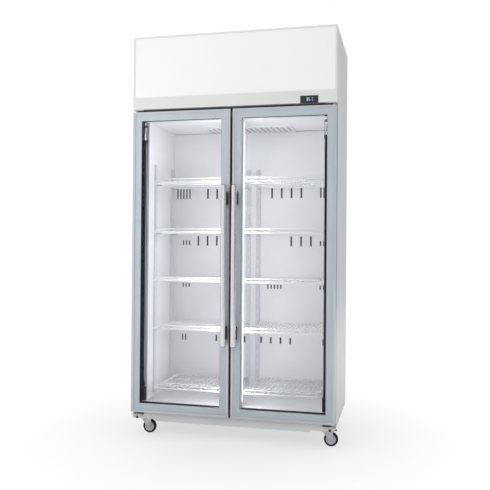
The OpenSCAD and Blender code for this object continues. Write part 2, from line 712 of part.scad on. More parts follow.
// Discharge, liquid and suction lines
module refrigerant_pipes() color("chocolate") {
    out_z = unit_z + 162;
    low_z = unit_z + 22;
    tube_end = coil_x0 - 12.5;
    pipe([[-300, 195, out_z - 90], [-300, 215, out_z - 90], [-300, 215, out_z],
        [-120, 215, out_z], [-120, 248, out_z], [tube_end, 248, out_z]], 8);
    pipe([[tube_end, 290, low_z], [-150, 290, low_z], [-150, -120, low_z],
        [-150, -120, roof_z + 0.3]], 8);
    pipe([[-340, 122, unit_z + 169], [-340, 122, unit_z + 200], [-430, 122, unit_z + 200],
        [-430, -85, unit_z + 200], [-430, -85, roof_z + 0.3]], 12);
    translate([-150, 100, low_z]) rotate([90, 0, 0]) cylinder(r = 15, h = 110, center = true);
}

// Louvred rear cover of the unit compartment
module rear_grille() color("lightgrey") {
    grille_y = back_y - skin_t - clear - 1.5;
    difference() {
        slab(-half_w + 3, half_w - 3, grille_y, grille_y + 1.5, roof_z + 1, cabinet_h - 3);
        for (x0 = [-500, -165, 170])
            for (z = [roof_z + 40 : 22 : cabinet_h - 45])
                slab(x0, x0 + 322, grille_y - 1, grille_y + 3, z, z + 9);
        translate([-520, grille_y - 1, roof_z + 22]) rotate([-90, 0, 0]) cylinder(r = 10.3, h = 4);
    }
}

// Mains box with its cable gland
module power_box() color("dimgrey") {
    box_y = back_y - 70;
    slab(-half_w + 12, -430, box_y, back_y - 8, roof_z + 0.4, roof_z + 110);
    translate([-520, back_y - 9, roof_z + 22]) rotate([-90, 0, 0]) difference() {
        cylinder(r = 10, h = 11);
        translate([0, 0, 2]) cylinder(r = 4.5, h = 12);
    }
}

left_side_panel();
right_side_panel();
back_panel();
unit_deck();
base_tray();
insulation();
inner_liner();
front_frame();
breaker_strips();
led_strips();
back_duct_panel();
evaporator_cover();
evaporator_coil();
evaporator_fan_frames();
left_evaporator_fan();
right_evaporator_fan();
shelf_uprights();
shelf_clips();
shelf_level(1);  // shelf_level_1
shelf_level(2);  // shelf_level_2
shelf_level(3);  // shelf_level_3
shelf_level(4);  // shelf_level_4
shelf_level(5);  // shelf_level_5
left_door_frame();
left_door_glass();
left_door_inner_frame();
left_door_gasket();
left_door_handle();
left_door_handle_posts();
left_door_closer();
right_door_frame();
right_door_glass();
right_door_inner_frame();
right_door_gasket();
right_door_handle();
right_door_handle_posts();
right_door_closer();
hinge_brackets();
header_frame();
light_panel();
sign_light_tray();
controller();
castor_plates();
front_left_fork();
front_right_fork();
rear_left_fork();
rear_right_fork();
front_left_wheel();
front_right_wheel();
rear_left_wheel();
rear_right_wheel();
front_left_brake();
front_right_brake();
compressor();
condenser_coil();
condenser_fan_shroud();
condenser_fan();
refrigerant_pipes();
rear_grille();
power_box();
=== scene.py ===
"""Looks of the two-door display fridge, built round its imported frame. Metres, +Z up, -Y is the front."""

import math

import bmesh
import bpy
from mathutils import Matrix, Vector


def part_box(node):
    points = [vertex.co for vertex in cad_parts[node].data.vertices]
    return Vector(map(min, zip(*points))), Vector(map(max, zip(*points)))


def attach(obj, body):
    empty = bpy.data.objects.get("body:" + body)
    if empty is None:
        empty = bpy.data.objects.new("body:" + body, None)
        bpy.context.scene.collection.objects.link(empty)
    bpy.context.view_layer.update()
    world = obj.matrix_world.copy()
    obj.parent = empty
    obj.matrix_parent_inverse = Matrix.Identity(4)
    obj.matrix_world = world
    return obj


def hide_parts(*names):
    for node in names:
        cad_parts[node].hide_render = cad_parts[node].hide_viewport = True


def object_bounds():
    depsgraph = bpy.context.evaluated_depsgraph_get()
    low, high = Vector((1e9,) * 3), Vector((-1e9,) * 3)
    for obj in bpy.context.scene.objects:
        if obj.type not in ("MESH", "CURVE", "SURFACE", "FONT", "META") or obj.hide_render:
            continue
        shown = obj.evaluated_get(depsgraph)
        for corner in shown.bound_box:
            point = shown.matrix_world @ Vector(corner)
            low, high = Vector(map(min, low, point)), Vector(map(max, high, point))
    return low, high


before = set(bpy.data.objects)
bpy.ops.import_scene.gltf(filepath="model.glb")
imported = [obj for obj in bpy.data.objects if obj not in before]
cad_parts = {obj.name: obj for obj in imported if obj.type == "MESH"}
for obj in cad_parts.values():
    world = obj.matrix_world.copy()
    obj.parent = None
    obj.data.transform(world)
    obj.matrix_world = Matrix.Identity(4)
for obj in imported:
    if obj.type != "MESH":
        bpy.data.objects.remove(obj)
cad_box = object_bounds()

MM = 0.001
SIDES = ("left", "right")
CASTORS = ("front_left", "front_right", "rear_left", "rear_right")
DOOR = {side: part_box(side + "_door_frame") for side in SIDES}
DOOR_Y = DOOR["left"][0].y
WALL_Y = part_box("front_frame")[1].y - 5 * MM


# ------------------------------------------------------------------ mesh helpers


def block(mesh, low, high):
    """Adds a box between two corners."""
    xs, ys, zs = zip(low, high)
    corners = [mesh.verts.new((x, y, z)) for x in xs for y in ys for z in zs]
    for face in ((0, 1, 3, 2), (4, 6, 7, 5), (0, 4, 5, 1), (2, 3, 7, 6), (0, 2, 6, 4), (1, 5, 7, 3)):
        mesh.faces.new([corners[i] for i in face])


def ring(mesh, low, high, profile):
    """Sweeps a closed profile of (inset, y) points round an upright rectangle, with mitred corners."""
    loops = []
    for right, top in ((0, 0), (1, 0), (1, 1), (0, 1)):
        loop = []
        for inset, y in profile:
            x = high[0] - inset if right else low[0] + inset
            z = high[2] - inset if top else low[2] + inset
            loop.append(mesh.verts.new((x, y, z)))
        loops.append(loop)
    join_loops(mesh, loops, closed=True)


def join_loops(mesh, loops, closed=False):
    """Skins a list of vertex loops of equal length."""
    count = len(loops[0])
    last = len(loops) if closed else len(loops) - 1
    for k in range(last):
        a, b = loops[k], loops[(k + 1) % len(loops)]
        for i in range(count):
            j = (i + 1) % count
            mesh.faces.new((a[i], a[j], b[j], b[i]))


def circle_points(centre, radius, axis, count):
    """Points of a circle round an axis."""
    axis = Vector(axis).normalized()
    side = axis.orthogonal().normalized()
    up = axis.cross(side)
    turns = [2 * math.pi * k / count for k in range(count)]
    return [Vector(centre) + (side * math.cos(t) + up * math.sin(t)) * radius for t in turns]


def lathe(mesh, profile, centre, axis, steps):
    """Turns an open profile of (radius, height along the axis) points round an axis, into loops."""
    axis = Vector(axis).normalized()
    loops = []
    for radius, along in profile:
        points = circle_points(Vector(centre) + axis * along, radius, axis, steps)
        loops.append([mesh.verts.new(point) for point in points])
    join_loops(mesh, loops)
    return loops


def solid_lathe(mesh, profile, centre, axis, steps):
    """A lathe with both ends closed by flat faces."""
    loops = lathe(mesh, profile, centre, axis, steps)
    mesh.faces.new(loops[0])
    mesh.faces.new(loops[-1])


def hollow_lathe(mesh, profile, centre, axis, steps):
    """A lathe of a closed profile, for a ring with a bore."""
    loops = lathe(mesh, profile, centre, axis, steps)
    join_loops(mesh, [loops[-1], loops[0]])


def prism(mesh, loops):
    """Skins two loops of vertices and closes both ends."""
    join_loops(mesh, loops)
    mesh.faces.new(loops[0])
    mesh.faces.new(loops[1])


def tube(mesh, points, radius, sides, closed=False):
    """A round rod through a list of points."""
    points = [Vector(p) for p in points]
    count = len(points)
    loops = []
    side = None
    for i, point in enumerate(points):
        before = points[i - 1] if i or closed else point
        after = points[(i + 1) % count] if i < count - 1 or closed else point
        along = (after - before).normalized()
        side = along.orthogonal() if side is None else side - along * side.dot(along)
        side.normalize()
        up = along.cross(side)
        loops.append(
            [
                mesh.verts.new(point + (side * math.cos(t) + up * math.sin(t)) * radius)
                for t in (2 * math.pi * k / sides for k in range(sides))
            ]
        )
    join_loops(mesh, loops, closed)
    if not closed:
        mesh.faces.new(loops[0])
        mesh.faces.new(loops[-1])


def rounded_rectangle(x0, x1, y0, y1, corner):
    """Outline of a rectangle with round corners, anticlockwise."""
    steps = 6
    outline = []
    left, right, bottom, top = x0 + corner, x1 - corner, y0 + corner, y1 - corner
    for quarter, (x, y) in enumerate(((right, top), (left, top), (left, bottom), (right, bottom))):
        for k in range(steps + 1):
            t = math.pi / 2 * (quarter + k / steps)
            outline.append((x + corner * math.cos(t), y + corner * math.sin(t)))
    return outline


def piece(name, mesh, material, body, replaces=(), bevel=0.0, sharp=35):
    """Turns a bmesh into a shown piece that rides on a body."""
    bmesh.ops.recalc_face_normals(mesh, faces=mesh.faces)
    data = bpy.data.meshes.new(name)
    mesh.to_mesh(data)
    mesh.free()
    data.shade_smooth()
    data.set_sharp_from_angle(angle=math.radians(sharp))
    data.materials.append(material)
    made = bpy.data.objects.new(name, data)
    bpy.context.scene.collection.objects.link(made)
    if bevel:
        round_edges(made, bevel)
    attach(made, body)
    if replaces:
        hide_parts(*replaces)


def round_edges(shown, width):
    """Breaks the sharp edges of an object, as paint, pressing and moulding do."""
    bevel = shown.modifiers.new("edge", "BEVEL")
    bevel.width = width
    bevel.segments = 2
    bevel.limit_method = "ANGLE"
    bevel.angle_limit = math.radians(40)
    bevel.use_clamp_overlap = True
    normals = shown.modifiers.new("normals", "WEIGHTED_NORMAL")
    normals.keep_sharp = False


def dress(node, material, edge):
    """Gives a CAD node its material, and rounds its edges where that shows."""
    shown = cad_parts[node]
    for place in shown.material_slots:
        place.material = material
    if edge:
        weld = shown.modifiers.new("weld", "WELD")
        weld.merge_threshold = 0.00001
        round_edges(shown, edge)


# ------------------------------------------------------------------ materials


def srgb(code):
    """A hex colour as linear RGBA."""
    channels = [int(code[i : i + 2], 16) / 255 for i in (0, 2, 4)]
    return tuple(c / 12.92 if c <= 0.04045 else ((c + 0.055) / 1.055) ** 2.4 for c in channels) + (1.0,)


def remap(tree, source, low, high, start=0.0, stop=1.0):
    """Maps a value from start..stop to low..high, where low and high are numbers or sockets."""
    node = tree.nodes.new("ShaderNodeMapRange")
    node.inputs["From Min"].default_value = start
    node.inputs["From Max"].default_value = stop
    for socket, end in (("To Min", low), ("To Max", high)):
        if isinstance(end, bpy.types.NodeSocket):
            tree.links.new(end, node.inputs[socket])
        else:
            node.inputs[socket].default_value = end
    tree.links.new(source, node.inputs["Value"])
    return node.outputs["Result"]


class Surface:
    """A Principled material with short calls for the nodes that give it its detail."""

    def __init__(self, name, **sockets):
        self.material = bpy.data.materials.new(name)
        self.material.use_nodes = True
        self.tree = self.material.node_tree
        self.shader = self.tree.nodes["Principled BSDF"]
        for socket, value in sockets.items():
            self.shader.inputs[socket.replace("_", " ")].default_value = value
        self.place = self.tree.nodes.new("ShaderNodeTexCoord").outputs["Object"]

    def link(self, source, target):
        """Joins an output to an input."""
        self.tree.links.new(source, target)

    def noise(self, scale, detail, stretch=(1, 1, 1)):
        """Noise of so many cells a metre, drawn out along an axis by a stretch under 1."""
        mapping = self.tree.nodes.new("ShaderNodeMapping")
        mapping.inputs["Scale"].default_value = stretch
        self.link(self.place, mapping.inputs["Vector"])
        noise = self.tree.nodes.new("ShaderNodeTexNoise")
        noise.inputs["Scale"].default_value = scale
        noise.inputs["Detail"].default_value = detail
        self.link(mapping.outputs["Vector"], noise.inputs["Vector"])
        return noise.outputs["Fac"]

    def along(self, axis):
        """How far along an axis a point lies, in metres."""
        split = self.tree.nodes.new("ShaderNodeSeparateXYZ")
        self.link(self.place, split.inputs["Vector"])
        return split.outputs[axis]

    def from_middle(self):
        """How far to the left or right of the middle a point lies, in metres."""
        distance = self.tree.nodes.new("ShaderNodeMath")
        distance.operation = "ABSOLUTE"
        self.link(self.along("X"), distance.inputs[0])
        return distance.outputs["Value"]

    def cells(self, scale):
        """Flat cells of random value, as zinc spangle has."""
        cells = self.tree.nodes.new("ShaderNodeTexVoronoi")
        cells.inputs["Scale"].default_value = scale
        self.link(self.place, cells.inputs["Vector"])
        grey = self.tree.nodes.new("ShaderNodeRGBToBW")
        self.link(cells.outputs["Color"], grey.inputs["Color"])
        return grey.outputs["Val"]

    def spread(self, source, low, high, start=0.3, stop=0.7):
        """Maps a value to low..high, by default from the range that most of a noise lies in."""
        return remap(self.tree, source, low, high, start, stop)

    def colour(self, source, first, second, socket="Base Color"):
        """Blends two hex colours by a value, into a colour socket."""
        mix = self.tree.nodes.new("ShaderNodeMix")
        mix.data_type = "RGBA"
        mix.inputs["A"].default_value = srgb(first)
        mix.inputs["B"].default_value = srgb(second)
        self.link(source, mix.inputs["Factor"])
        self.link(mix.outputs["Result"], self.shader.inputs[socket])

    def blend(self, source, first, second):
        """Mixes two shaders by a value."""
        mix = self.tree.nodes.new("ShaderNodeMixShader")
        self.link(source, mix.inputs["Fac"])
        self.link(first, mix.inputs[1])
        self.link(second, mix.inputs[2])
        return mix.outputs["Shader"]

    def show(self, shader):
        """Makes a shader the material's surface."""
        self.link(shader, self.tree.nodes["Material Output"].inputs["Surface"])

    def rough(self, source, low, high):
        """Spreads the roughness from low to high by a value."""
        self.link(self.spread(source, low, high), self.shader.inputs["Roughness"])

    def relief(self, source, depth, strength):
        """Raises the surface by a value, depth metres at most."""
        bump = self.tree.nodes.new("ShaderNodeBump")
        bump.inputs["Distance"].default_value = depth
        bump.inputs["Strength"].default_value = strength
        self.link(source, bump.inputs["Height"])
        self.link(bump.outputs["Normal"], self.shader.inputs["Normal"])


def powder_coat(name, first, second, rough=0.38, peel=0.00004):
    """Stove-enamelled or powder-coated sheet: faint clouds of tone and an orange-peel skin."""
    s = Surface(name, Specular_IOR_Level=0.45)
    s.colour(s.spread(s.noise(3.5, 3), 0, 1), first, second)
    s.rough(s.noise(14, 4), rough - 0.05, rough + 0.07)
    s.relief(s.noise(700, 2), peel, 0.5)
    return s.material


def moulded(name, first, second, rough=0.5, grain=0.00005, size=1400):
    """Moulded plastic with a fine spark-eroded grain."""
    s = Surface(name, Specular_IOR_Level=0.4)
    s.colour(s.spread(s.noise(22, 4), 0, 1), first, second)
    s.rough(s.noise(60, 3), rough - 0.06, rough + 0.08)
    s.relief(s.noise(size, 2), grain, 0.6)
    return s.material


def brushed(name, first, second, rough):
    """Metal with fine upright drawn lines."""
    s = Surface(name, Metallic=1.0)
    stretch = (1, 1, 0.02)
    lines = s.noise(900, 3, stretch)
    s.colour(s.spread(lines, 0, 1), first, second)
    s.rough(s.noise(500, 2, stretch), rough - 0.06, rough + 0.1)
    s.relief(lines, 0.00002, 0.5)
    return s.material


def anodised(name, first, second, rough, metal=0.75):
    """Satin anodised aluminium: an even, very fine grain with faint clouds."""
    s = Surface(name, Metallic=metal)
    s.colour(s.spread(s.noise(7, 3), 0, 1), first, second)
    s.rough(s.noise(400, 2), rough - 0.02, rough + 0.03)
    s.relief(s.noise(1500, 2), 0.000002, 0.15)
    return s.material


def galvanised(name):
    """Zinc-coated sheet with its spangle."""
    s = Surface(name, Metallic=0.85)
    spangle = s.cells(95)
    s.colour(spangle, "A5A9AD", "C3C6C8")
    s.rough(spangle, 0.34, 0.52)
    s.relief(s.noise(260, 3), 0.00003, 0.4)
    return s.material


def zinc_plate(name):
    """Bright zinc-plated steel, a little cloudy."""
    s = Surface(name, Metallic=0.95)
    s.colour(s.spread(s.noise(55, 5), 0, 1), "B4B7BB", "D9DBDD")
    s.rough(s.noise(120, 4), 0.24, 0.42)
    s.relief(s.noise(900, 2), 0.00002, 0.5)
    return s.material


def rubber(name, first="1A1B1C", second="26272A"):
    """Rubber with a dusty bloom."""
    s = Surface(name, Specular_IOR_Level=0.3)
    s.colour(s.spread(s.noise(38, 5), 0, 1), first, second)
    s.rough(s.noise(90, 3), 0.62, 0.82)
    s.relief(s.noise(850, 3), 0.00006, 0.6)
    return s.material


def glowing(name, first, second, strength):
    """A lit diffuser: opal plastic with its lamps' light in it."""
    s = Surface(name, Emission_Strength=strength)
    clouds = s.spread(s.noise(2.2, 2), 0, 1)
    s.colour(clouds, first, second)
    s.colour(clouds, first, second, "Emission Color")
    s.rough(s.noise(8, 2), 0.3, 0.34)
    s.relief(s.noise(420, 2), 0.00001, 0.2)
    return s.material


def clear_glass(name):
    """A thin pane: mirrors a little, more at a slant, and lets the rest of the light straight through."""
    s = Surface(name, Metallic=1.0, Base_Color=(1, 1, 1, 1))
    s.rough(s.noise(9, 4), 0.01, 0.05)
    through = s.tree.nodes.new("ShaderNodeBsdfTransparent")
    through.inputs["Color"].default_value = (0.965, 0.97, 0.974, 1)
    facing = s.tree.nodes.new("ShaderNodeFresnel")
    facing.inputs["IOR"].default_value = 1.22
    s.show(s.blend(facing.outputs["Fac"], through.outputs["BSDF"], s.shader.outputs["BSDF"]))
    return s.material


def spacer_bar_painted_light(name):
    """Spacer between the panes: black, with a painted highlight that makes it pale along the mullion,
    where the lamps' light falls.
    """
    s = Surface(name, Specular_IOR_Level=0.3)
    # painted highlight: pale within a few centimetres of the middle, black further out
    s.colour(s.spread(s.from_middle(), 1, 0, 0.07, 0.1), "1B1C1F", "AEB1B5")
    s.rough(s.noise(300, 2), 0.45, 0.6)
    s.relief(s.noise(900, 2), 0.00001, 0.3)
    return s.material


def breaker_plastic(name, wall_y):
    """Black strips round the doors, painted grey where they run along the walls behind a depth in Y:
    painted shade for the face frame's side lying in shadow.
    """
    s = Surface(name, Specular_IOR_Level=0.4)
    # painted shade: grey behind the wall depth, where the face frame's side lies in shadow
    painted_shade_depth = s.spread(s.along("Y"), 0, 1, wall_y - 1 * MM, wall_y + 1 * MM)
    s.colour(painted_shade_depth, "17181A", "868A93")
    s.rough(s.noise(60, 3), 0.44, 0.58)
    s.relief(s.noise(1400, 2), 0.00005, 0.6)
    return s.material


def gloss_black(name):
    """Glossy dark acrylic with fine wiping marks."""
    s = Surface(name, Coat_Weight=0.6, Coat_Roughness=0.05)
    s.colour(s.spread(s.noise(45, 4), 0, 1), "0B0B0D", "121216")
    s.rough(s.noise(160, 3, (1, 1, 0.2)), 0.08, 0.2)
    s.relief(s.noise(300, 2), 0.00001, 0.3)
    return s.material


def copper(name):
    """Copper tube, duller and browner in patches."""
    s = Surface(name, Metallic=1.0)
    s.colour(s.spread(s.noise(40, 5), 0, 1), "8A4A2C", "C9805A")
    s.rough(s.noise(70, 4), 0.25, 0.5)
    s.relief(s.noise(500, 2), 0.00003, 0.4)
    return s.material


def coil_fins(name):
    """Thin aluminium fins, with their edges catching the light."""
    s = Surface(name, Metallic=0.9)
    s.colour(s.spread(s.noise(35, 4), 0, 1), "9DA2A6", "C4C8CB")
    s.rough(s.noise(200, 3), 0.3, 0.5)
    s.relief(s.noise(900, 2, (1, 0.1, 1)), 0.00003, 0.5)
    return s.material


def foam(name):
    """Polyurethane foam with its open cells."""
    s = Surface(name, Specular_IOR_Level=0.2)
    bubbles = s.cells(420)
    s.colour(bubbles, "CDBB86", "E6D8AC")
    s.rough(s.noise(80, 3), 0.85, 0.95)
    s.relief(bubbles, 0.0003, 0.7)
    return s.material


WHITE_STEEL = powder_coat("white_steel", "D3D4D5", "DADBDC")
HEADER_PAINT = powder_coat("header_paint", "DCDCDB", "E2E2E1", 0.34)
LINER = powder_coat("liner_white", "E8E8EA", "EEEEF0", 0.42)
GALVANISED = galvanised("galvanised_sheet")
FOAM = foam("foam")
FILTER = moulded("return_air_filter", "B9BEC6", "C6CAD1", 0.8, 0.0002, 700)
WHITE_PLASTIC = moulded("white_plastic", "E2E3E6", "EAEBED")
BLACK_PLASTIC = moulded("black_plastic", "141517", "1D1E21")
CARRIER_BLACK = moulded("carrier_black", "050608", "090A0D", 0.8)
DARK_PLASTIC = moulded("dark_plastic", "26272A", "313236")
GREY_PLASTIC = moulded("grey_plastic", "6D7075", "7B7E83")
HUB_PLASTIC = moulded("hub_plastic", "D2D4D7", "DCDEE1")
DARK_STEEL = powder_coat("dark_steel", "1F2022", "292A2D", 0.45)
BLACK_ENAMEL = powder_coat("compressor_enamel", "0E0E10", "17171A", 0.22)
UPRIGHT_PAINT = powder_coat("upright_paint", "D6D7DB", "DEDFE3", 0.4)
SHELF_WHITE = powder_coat("shelf_coating", "ECEDF0", "F6F7F8", 0.5)
BORDER_PRINT = powder_coat("border_print", "CED7DE", "D5DDE3", 0.3, 0.00001)
ALUMINIUM = anodised("anodised_aluminium", "C6CACE", "CED1D4", 0.32)
SPACER = spacer_bar_painted_light("spacer_bar_painted_light")
BREAKER = breaker_plastic("breaker_plastic", WALL_Y)
HANDLE_METAL = anodised("handle_metal", "DCDDDE", "E2E3E4", 0.25, 0.8)
CLOSER_STEEL = brushed("closer_steel", "6E7175", "86898D", 0.34)
BEAD = moulded("glazing_bead", "DADCDF", "E2E4E6", 0.45)
ZINC = zinc_plate("zinc_plate")
RUBBER = rubber("castor_rubber")
GASKET = rubber("gasket_rubber", "2B2C30", "38393E")
COPPER = copper("copper_tube")
FINS = coil_fins("coil_fins")
GLASS = clear_glass("door_glass")
LENS = gloss_black("controller_lens")
SIGN = glowing("sign_panel", "E9E9E9", "EBEBEB", 0.1)
LED = glowing("led_diffuser", "F3F4FB", "FAFBFF", 0.95)
DIGITS = glowing("controller_digits", "A9BEDD", "B6C8E4", 0.9)


# ------------------------------------------------------------------ CAD nodes and their finishes


def dress_cad_nodes():
    """Materials for the CAD nodes that stay in view, and broken edges on their sheet and moulded parts."""
    finishes = {
        "left_side_panel": (WHITE_STEEL, 0.0006),
        "right_side_panel": (WHITE_STEEL, 0.0006),
        "back_panel": (GALVANISED, 0.0004),
        "unit_deck": (GALVANISED, 0.0005),
        "base_tray": (WHITE_STEEL, 0.0006),
        "insulation": (FOAM, 0.0),
        "inner_liner": (LINER, 0.0004),
        "front_frame": (WHITE_PLASTIC, 0.0015),
        "breaker_strips": (BREAKER, 0.0005),
        "back_duct_panel": (LINER, 0.0003),
        "evaporator_cover": (LINER, 0.0004),
        "evaporator_coil": (FINS, 0.0),
        "evaporator_fan_frames": (GALVANISED, 0.0),
        "left_evaporator_fan": (BLACK_PLASTIC, 0.0),
        "right_evaporator_fan": (BLACK_PLASTIC, 0.0),
        "shelf_uprights": (UPRIGHT_PAINT, 0.0),
        "shelf_clips": (ZINC, 0.0003),
        "hinge_brackets": (ZINC, 0.0006),
        "header_frame": (HEADER_PAINT, 0.0008),
        "light_panel": (SIGN, 0.0008),
        "sign_light_tray": (LINER, 0.0004),
        "castor_plates": (ZINC, 0.0005),
        "condenser_coil": (FINS, 0.0),
        "condenser_fan_shroud": (DARK_STEEL, 0.0005),
        "condenser_fan": (GREY_PLASTIC, 0.0),
        "refrigerant_pipes": (COPPER, 0.0),
        "rear_grille": (WHITE_STEEL, 0.0),
        "power_box": (DARK_PLASTIC, 0.0015),
        "compressor": (BLACK_ENAMEL, 0.001),
        "controller": (BLACK_PLASTIC, 0.001),
    }
    for level in range(1, 6):
        finishes[f"shelf_level_{level}"] = (SHELF_WHITE, 0.0)
    for side in SIDES:
        finishes[side + "_door_frame"] = (ALUMINIUM, 0.001)
        finishes[side + "_door_inner_frame"] = (CARRIER_BLACK, 0.0006)
        finishes[side + "_door_handle"] = (HANDLE_METAL, 0.0006)
        finishes[side + "_door_handle_posts"] = (BLACK_PLASTIC, 0.001)
        finishes[side + "_door_closer"] = (CLOSER_STEEL, 0.0)
    for castor in CASTORS:
        finishes[castor + "_fork"] = (ZINC, 0.0005)
    for node, (material, edge) in finishes.items():
        dress(node, material, edge)


# ------------------------------------------------------------------ doors


# Measured in from the door's outer edge: the frame's lip, and the inner edge of the printed border
LIP = 13.2 * MM
BORDER = 49.5 * MM
# Measured back from the door's front face: the fronts of the two panes
OUTER_PANE_BACK = 0.3 * MM
INNER_PANE_BACK = 18 * MM
PANE = 4 * MM
GLAZING_GAP = 0.3 * MM


def door_glazing(side):
    """Two panes with ground edges, the spacer between them and the printed border behind the outer one."""
    low, high = DOOR[side]
    body = side + "_door"
    panes = bmesh.new()
    for inset, back in ((LIP, OUTER_PANE_BACK), (BORDER + GLAZING_GAP, INNER_PANE_BACK)):
        y0 = DOOR_Y + back
        x0, x1, z0, z1 = low.x + inset, high.x - inset, low.z + inset, high.z - inset
        front = [panes.verts.new(p) for p in ((x0, y0, z0), (x1, y0, z0), (x1, y0, z1), (x0, y0, z1))]
        back_edge = [panes.verts.new((v.co.x, y0 + PANE, v.co.z)) for v in front]
        panes.faces.new(front)
        join_loops(panes, [front, back_edge])
    piece(body + "_panes", panes, GLASS, body, [body + "_glass"])

    print_band = bmesh.new()
    y = DOOR_Y + OUTER_PANE_BACK + PANE
    y0, y1 = y + 0.02 * MM, y + 0.3 * MM
    ring(print_band, low, high, [(LIP, y0), (BORDER, y0), (BORDER, y1), (LIP, y1)])
    piece(body + "_border_print", print_band, BORDER_PRINT, body)

    spacer = bmesh.new()
    y0, y1 = DOOR_Y + 5.2 * MM, DOOR_Y + INNER_PANE_BACK - 0.2 * MM
    outer = BORDER + GLAZING_GAP
    inner = BORDER + 1.6 * MM
    waist = inner - 0.5 * MM
    ring(spacer, low, high, [(outer, y0), (inner, y0), (waist, (y0 + y1) / 2), (inner, y1), (outer, y1)])
    piece(body + "_spacer", spacer, SPACER, body, bevel=0.0002)


def glazing_bead(side):
    """Pale snap-in bead over the carrier's inner faces along the top and the free edge of the glass."""
    low, high = DOOR[side]
    body = side + "_door"
    y0, y1 = DOOR_Y + 22.4 * MM, high.y - 0.6 * MM
    thick = 1.2 * MM
    inset, hinge_side = BORDER + 0.2 * MM, BORDER + 18 * MM
    top = high.z - inset
    foot = low.z + BORDER + 4 * MM
    if side == "left":
        x0, x1 = low.x + hinge_side, high.x - inset
        upright = (x1 - thick, x1)
    else:
        x0, x1 = low.x + inset, high.x - hinge_side
        upright = (x0, x0 + thick)
    mesh = bmesh.new()
    block(mesh, (x0, y0, top - thick), (x1, y1, top))
    block(mesh, (upright[0], y0, foot), (upright[1], y1, top - thick))
    piece(body + "_glazing_bead", mesh, BEAD, body, bevel=0.0004)


def door_gasket(side):
    """Bellows gasket: a flat magnet face on two folded webs."""
    low, high = DOOR[side]
    back = DOOR_Y + 52.2 * MM
    outline = [
        (10.6, 0), (27.4, 0), (27.4, 0.9), (25.6, 1.7), (27.1, 2.8), (28, 3.8), (28, 6.7), (27.2, 7.3),
        (10.8, 7.3), (10, 6.7), (10, 3.8), (10.9, 2.8), (12.4, 1.7), (10.6, 0.9),
    ]
    mesh = bmesh.new()
    ring(mesh, low, high, [(inset * MM, back + depth * MM) for inset, depth in outline])
    body = side + "_door"
    piece(body + "_gasket_bellows", mesh, GASKET, body, [body + "_gasket"])


def handle_caps(side):
    """End caps pressed into the handle's rounded section."""
    low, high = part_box(side + "_door_handle")
    mesh = bmesh.new()
    inset, gap, reach = 0.5 * MM, 0.05 * MM, 2.2 * MM
    corner = (high.y - low.y) / 2 - 1.5 * MM
    outline = rounded_rectangle(low.x + inset, high.x - inset, low.y + inset, high.y - inset, corner)
    for ends in ((low.z - reach, low.z - gap), (high.z + gap, high.z + reach)):
        prism(mesh, [[mesh.verts.new((x, y, z)) for x, y in outline] for z in ends])
    piece(side + "_handle_end_caps", mesh, DARK_PLASTIC, side + "_door", bevel=0.0009)


# ------------------------------------------------------------------ lighting strips and controller


def led_bars():
    """Aluminium channel, opal round diffuser and two end caps on each flank of the mullion."""
    low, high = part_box("led_strips")
    middle_y = (low.y + high.y) / 2
    half_w, half_d, sides = 8.4 * MM, 8.9 * MM, 40
    cap_h, cap_r, chamfer = 6 * MM, 8.6 * MM, 1 * MM
    diffusers, caps, channels = bmesh.new(), bmesh.new(), bmesh.new()
    for sign in (-1, 1):
        x = sign * (high.x - 8.5 * MM)
        turns = [2 * math.pi * k / sides for k in range(sides)]
        ellipse = [(x + half_w * math.cos(t), middle_y + half_d * math.sin(t)) for t in turns]
        ends = low.z + cap_h, high.z - cap_h
        prism(diffusers, [[diffusers.verts.new((*p, z)) for p in ellipse] for z in ends])
        for z0, z1 in ((low.z, low.z + cap_h), (high.z - cap_h, high.z)):
            narrow = cap_r - chamfer
            profile = [(narrow, z0), (cap_r, z0 + chamfer), (cap_r, z1 - chamfer), (narrow, z1)]
            solid_lathe(caps, profile, (x, middle_y, 0), (0, 0, 1), 32)
        edges = sorted((sign * (abs(x) - 8.8 * MM), sign * (abs(x) - 6.2 * MM)))
        block(channels, (edges[0], low.y, low.z + 1 * MM), (edges[1], high.y, high.z - 1 * MM))
    piece("led_diffusers", diffusers, LED, "cabinet", ["led_strips"])
    piece("led_end_caps", caps, WHITE_PLASTIC, "cabinet")
    piece("led_channels", channels, ALUMINIUM, "cabinet", bevel=0.0004)


DISPLAY_DEPTH = 0.25 * MM


def seven_segment(mesh, digit, x, z, width, height, y):
    """One digit of a seven-segment display."""
    lit = {"3": "abcdg", "5": "acdfg"}[digit]
    t = height * 0.12
    mid = z + height / 2
    bars = {
        "a": (x + t, z + height - t, x + width - t, z + height),
        "b": (x + width - t, mid + t / 2, x + width, z + height - t),
        "c": (x + width - t, z + t, x + width, mid - t / 2),
        "d": (x + t, z, x + width - t, z + t),
        "e": (x, z + t, x + t, mid - t / 2),
        "f": (x, mid + t / 2, x + t, z + height - t),
        "g": (x + t, mid - t / 2, x + width - t, mid + t / 2),
    }
    for segment in lit:
        x0, z0, x1, z1 = bars[segment]
        block(mesh, (x0, y, z0), (x1, y + DISPLAY_DEPTH, z1))


